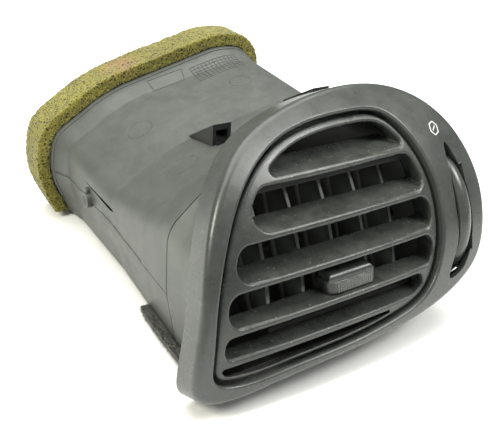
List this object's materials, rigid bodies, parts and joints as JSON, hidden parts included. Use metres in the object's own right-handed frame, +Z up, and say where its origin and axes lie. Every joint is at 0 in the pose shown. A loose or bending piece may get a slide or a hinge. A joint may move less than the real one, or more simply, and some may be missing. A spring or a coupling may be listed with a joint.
{
  "type": "dashboard air vent",
  "caption": "Dashboard side air vent with a tilting louvre grille, steerable vanes, a thumbwheel that works a shut-off flap, and a foam-gasketed duct.",
  "frame": {"origin": "middle of the footprint, on the plane the duct lies on", "axes": "+X to the right across the louvres, +Y back along the duct, +Z up"},
  "size_m": [0.1496, 0.1908, 0.1014],
  "materials": {
    "dark_trim": "satin grained",
    "light_grey_plastic": "matte",
    "duct_grey_plastic": "satin",
    "olive_foam": "open cell",
    "dark_felt": "fuzzy",
    "black_plastic": "matte",
    "vane_plastic": "satin",
    "grip_rubber": "raised dots",
    "black_foam": "closed cell",
    "steel": "drawn"
  },
  "bodies": {
    "housing": {"bezel": "dark_trim", "vent_frame": "light_grey_plastic", "duct_upper_shell": "duct_grey_plastic", "duct_lower_shell": "duct_grey_plastic", "inlet_foam_gasket": "olive_foam", "felt_strip_left": "dark_felt", "wheel_axle_pin": "black_plastic", "flap_bush_left": "black_plastic", "flap_bush_right": "black_plastic"},
    "grille": {"louvre_grille": "dark_trim", "grille_pivot_pins": "black_plastic", "vane_rail_upper": "black_plastic", "vane_rail_lower": "black_plastic"},
    "knob": {"direction_knob": "dark_trim", "knob_grip_pad": "grip_rubber", "knob_fork": "black_plastic"},
    "tie_bar": {"vane_tie_bar": "black_plastic"},
    "wheel": {"thumbwheel": "dark_trim"},
    "rod": {"link_rod": "black_plastic"},
    "flap": {"flap_plate": "black_plastic", "flap_foam_seal": "black_foam", "flap_shaft": "steel", "flap_lever": "black_plastic"},
    "vane_1": {"vane_1": "vane_plastic"},
    "vane_2": {"vane_2": "vane_plastic"},
    "vane_3": {"vane_3": "vane_plastic"},
    "vane_4": {"vane_4": "vane_plastic"},
    "vane_5": {"vane_5": "vane_plastic"}
  },
  "joints": [
    {"name": "grille_tilt", "type": "hinge", "parent": "housing", "child": "grille", "pos_m": [-0.00765, -0.07308, 0.054], "axis": [1, 0, 0], "range_deg": [-9, 9]},
    {"name": "knob_slide", "type": "slide", "parent": "grille", "child": "knob", "axis": [1, 0, 0], "range_m": [-0.007, 0.007]},
    {"name": "vane_1_yaw", "type": "hinge", "parent": "grille", "child": "vane_1", "pos_m": [-0.03505, -0.05348, 0.04401], "axis": [0, 0.454, 0.891], "range_deg": [-26, 26]},
    {"name": "vane_2_yaw", "type": "hinge", "parent": "grille", "child": "vane_2", "pos_m": [-0.01885, -0.05348, 0.04401], "axis": [0, 0.454, 0.891], "range_deg": [-26, 26]},
    {"name": "vane_3_yaw", "type": "hinge", "parent": "grille", "child": "vane_3", "pos_m": [-0.00265, -0.05348, 0.04401], "axis": [0, 0.454, 0.891], "range_deg": [-26, 26]},
    {"name": "vane_4_yaw", "type": "hinge", "parent": "grille", "child": "vane_4", "pos_m": [0.01355, -0.05348, 0.04401], "axis": [0, 0.454, 0.891], "range_deg": [-26, 26]},
    {"name": "vane_5_yaw", "type": "hinge", "parent": "grille", "child": "vane_5", "pos_m": [0.02975, -0.05348, 0.04401], "axis": [0, 0.454, 0.891], "range_deg": [-26, 26]},
    {"name": "tie_bar_hinge", "type": "hinge", "parent": "vane_3", "child": "tie_bar", "pos_m": [-0.00265, -0.04813, 0.04129], "axis": [0, 0.454, 0.891], "range_deg": [-26, 26]},
    {"name": "wheel_turn", "type": "hinge", "parent": "housing", "child": "wheel", "pos_m": [0.05935, -0.05128, 0.03952], "axis": [1, 0, 0], "range_deg": [0, 60]},
    {"name": "rod_hinge", "type": "hinge", "parent": "wheel", "child": "rod", "pos_m": [0.05335, -0.04428, 0.05165], "axis": [1, 0, 0], "range_deg": [-60, 0]},
    {"name": "flap_turn", "type": "hinge", "parent": "housing", "child": "flap", "pos_m": [0.00435, 0.03542, 0.03], "axis": [1, 0, 0], "range_deg": [0, 60]}
  ],
  "couplings": [
    {"joint": "vane_1_yaw", "follows": "knob_slide", "rad_per_m": 64.1},
    {"joint": "vane_2_yaw", "follows": "knob_slide", "rad_per_m": 64.1},
    {"joint": "vane_3_yaw", "follows": "knob_slide", "rad_per_m": 64.1},
    {"joint": "vane_4_yaw", "follows": "knob_slide", "rad_per_m": 64.1},
    {"joint": "vane_5_yaw", "follows": "knob_slide", "rad_per_m": 64.1},
    {"joint": "tie_bar_hinge", "follows": "knob_slide", "rad_per_m": -64.1},
    {"joint": "rod_hinge", "follows": "wheel_turn", "ratio": -1},
    {"joint": "flap_turn", "follows": "wheel_turn", "ratio": 1}
  ]
}
